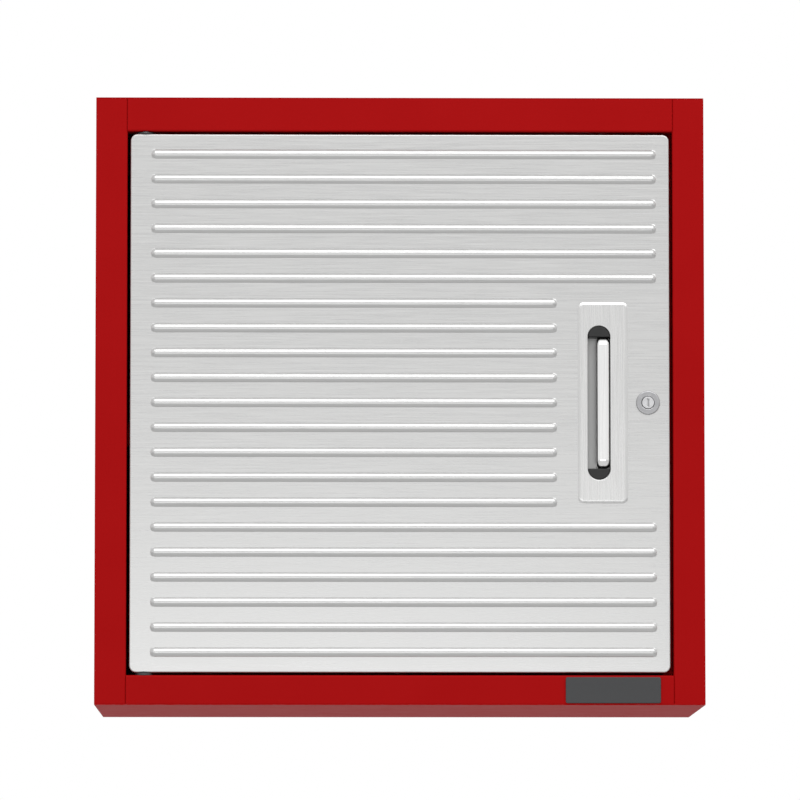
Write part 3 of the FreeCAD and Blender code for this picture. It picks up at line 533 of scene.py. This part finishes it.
keptFinishes = {
    zincPlate: [
        "left_front_standard", "left_rear_standard", "right_front_standard", "right_rear_standard",
        "shelf_clips", "lower_hinge_bracket", "upper_hinge_bracket", "catch_bracket", "door_stiffener",
    ],
    brightSteel: [
        "lower_hinge_pin", "upper_hinge_pin", "handle_screws", "lock_nut", "lock_cam", "cam_screw",
        "catch_poles", "catch_screws", "catch_strike",
    ],
    nylon: ["lower_hinge_bush", "upper_hinge_bush", "thrust_washer"],
    blackPlastic: ["catch_housing"],
    ferrite: ["catch_magnet"],
    rubber: ["door_bumpers"],
}
for material, names in keptFinishes.items():
    for name in names:
        mesh = nodes[name].data
        mesh.materials.clear()
        mesh.materials.append(material)
print("small parts finished")

# Room, light and camera

room = {
    "floorDrop": 1.4,
    "floorSize": 40.0,
    "floorGrey": 0.62,
    "floorGlow": 0.25,  # what the floor adds to its own light where it is seen
    "worldStrength": 0.60,
    "keyPlace": (0.5, -3.0, 2.5),
    "keySize": (4.0, 2.0),
    "keyPower": 54.0,
    "fillPlace": (-0.2, -2.8, -0.45),
    "fillSize": (1.6, 0.7),
    "fillPower": 3.8,
}


def seenRays(tree):
    # 1 where the eye looks straight, in gloss or through glass, and 0 for light on the object
    rays = tree.nodes.new("ShaderNodeLightPath")
    seen = rays.outputs["Is Camera Ray"]
    for kind in ("Is Glossy Ray", "Is Transmission Ray"):
        either = tree.nodes.new("ShaderNodeMath")
        either.operation = "MAXIMUM"
        tree.links.new(seen, either.inputs[0])
        tree.links.new(rays.outputs[kind], either.inputs[1])
        seen = either.outputs["Value"]
    return seen


world = bpy.data.worlds.new("studio")
bpy.context.scene.world = world
world.use_nodes = True
worldTree = world.node_tree
plain = worldTree.nodes["Background"]
plain.inputs["Color"].default_value = (1, 1, 1, 1)
plain.inputs["Strength"].default_value = room["worldStrength"]
white = worldTree.nodes.new("ShaderNodeBackground")
white.inputs["Color"].default_value = (1, 1, 1, 1)
white.inputs["Strength"].default_value = 1.0
either = worldTree.nodes.new("ShaderNodeMixShader")
worldTree.links.new(seenRays(worldTree), either.inputs["Fac"])
worldTree.links.new(plain.outputs["Background"], either.inputs[1])
worldTree.links.new(white.outputs["Background"], either.inputs[2])
worldTree.links.new(either.outputs["Shader"], worldTree.nodes["World Output"].inputs["Surface"])

floorMesh = bmesh.new()
bmesh.ops.create_grid(floorMesh, x_segments=1, y_segments=1, size=room["floorSize"] / 2)
bmesh.ops.translate(floorMesh, verts=floorMesh.verts, vec=(0, 0, cadBox[0].z - room["floorDrop"]))
floorData = bpy.data.meshes.new("floor")
floorMesh.to_mesh(floorData)
floorMesh.free()
floor = bpy.data.objects.new("floor", floorData)
bpy.context.scene.collection.objects.link(floor)
floorPaint, floorTree, floorShader = newMaterial("floorPaint", Roughness=0.9)
floorShader.inputs["Base Color"].default_value = (*[room["floorGrey"]] * 3, 1)
floorShader.inputs["Emission Color"].default_value = (1, 1, 1, 1)
glow = floorTree.nodes.new("ShaderNodeMath")
glow.operation = "MULTIPLY"
glow.inputs[1].default_value = room["floorGlow"]
floorTree.links.new(seenRays(floorTree), glow.inputs[0])
floorTree.links.new(glow.outputs["Value"], floorShader.inputs["Emission Strength"])
floorData.materials.append(floorPaint)


def areaLight(name, place, target, size, power):
    data = bpy.data.lights.new(name, "AREA")
    data.shape = "RECTANGLE"
    data.size, data.size_y = size
    data.energy = power
    lamp = bpy.data.objects.new(name, data)
    lamp.visible_camera = False
    lamp.location = place
    lamp.rotation_euler = (Vector(target) - Vector(place)).to_track_quat("-Z", "Y").to_euler()
    bpy.context.scene.collection.objects.link(lamp)


areaLight("keyLight", room["keyPlace"], (0, -0.2, 0), room["keySize"], room["keyPower"])
areaLight("fillLight", room["fillPlace"], (0, -0.2, -0.2), room["fillSize"], room["fillPower"])

camera = {
    "distance": 6.85,
    "left": 0.09,
    "below": 0.593,
    "field": 0.80,
    "sensor": 36.0,
}
cameraData = bpy.data.cameras.new("camera")
cameraData.sensor_width = camera["sensor"]
eye = Vector((-camera["left"], cadBox[0].y - camera["distance"], -camera["below"]))
target = Vector((0, cadBox[0].y, 0))
cameraData.lens = camera["sensor"] * (target - eye).length / camera["field"]
cameraObject = bpy.data.objects.new("camera", cameraData)
cameraObject.location = eye
cameraObject.rotation_euler = (target - eye).to_track_quat("-Z", "Y").to_euler()
cameraData.clip_end = 100
bpy.context.scene.collection.objects.link(cameraObject)
bpy.context.scene.camera = cameraObject
bpy.context.scene.view_settings.view_transform = "Standard"
print("room ready")
